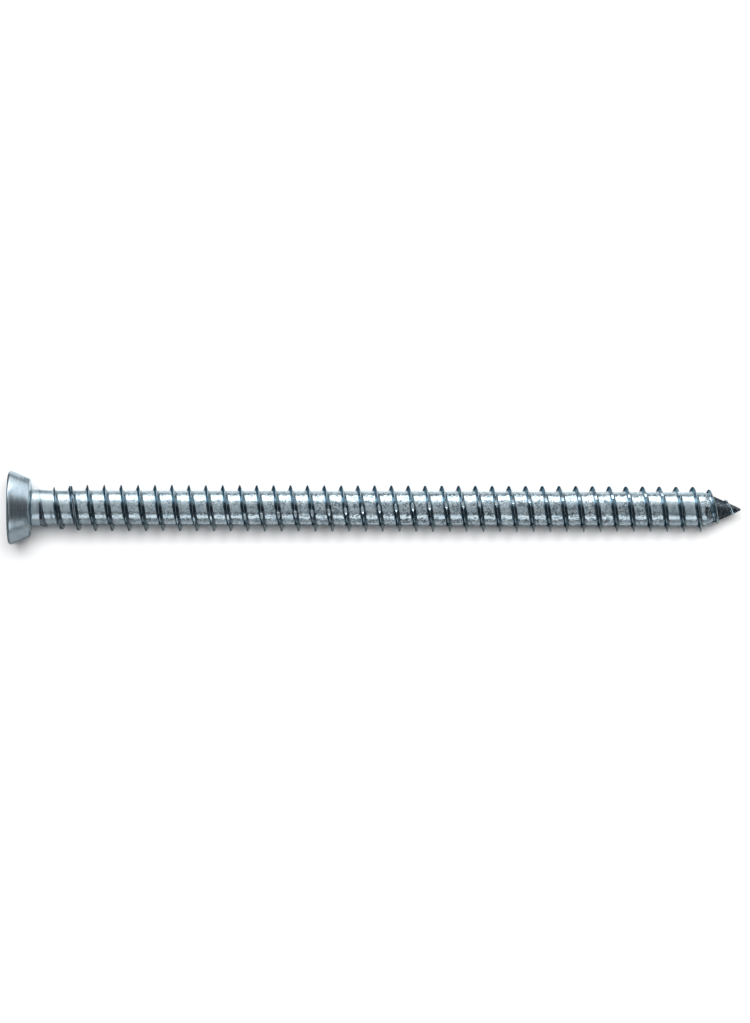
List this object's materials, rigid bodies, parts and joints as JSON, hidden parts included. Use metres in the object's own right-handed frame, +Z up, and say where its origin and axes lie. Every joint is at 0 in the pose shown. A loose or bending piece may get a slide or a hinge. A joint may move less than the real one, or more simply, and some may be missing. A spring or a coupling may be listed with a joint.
{
  "type": "frame screw",
  "caption": "Countersunk frame screw lying at rest, with a coarse thread along nearly its whole length, a cone point and a hexalobular drive, for fixing window and door frames.",
  "frame": {"origin": "centre of the head's face, where the axis of the screw leaves the drive recess", "axes": "+Z up with the screw lying at rest; +X along the screw from the head to the point, 1.2 degrees above the screw's own axis, which dips to the thread; +Y across the screw"},
  "size_m": [0.1201, 0.012, 0.012],
  "materials": {
    "zinc_plated_steel": "bright zinc plating with a bluish passivation, drawn and rolled surface"
  },
  "bodies": {
    "root": {"frame_screw": "zinc_plated_steel"}
  },
  "joints": []
}
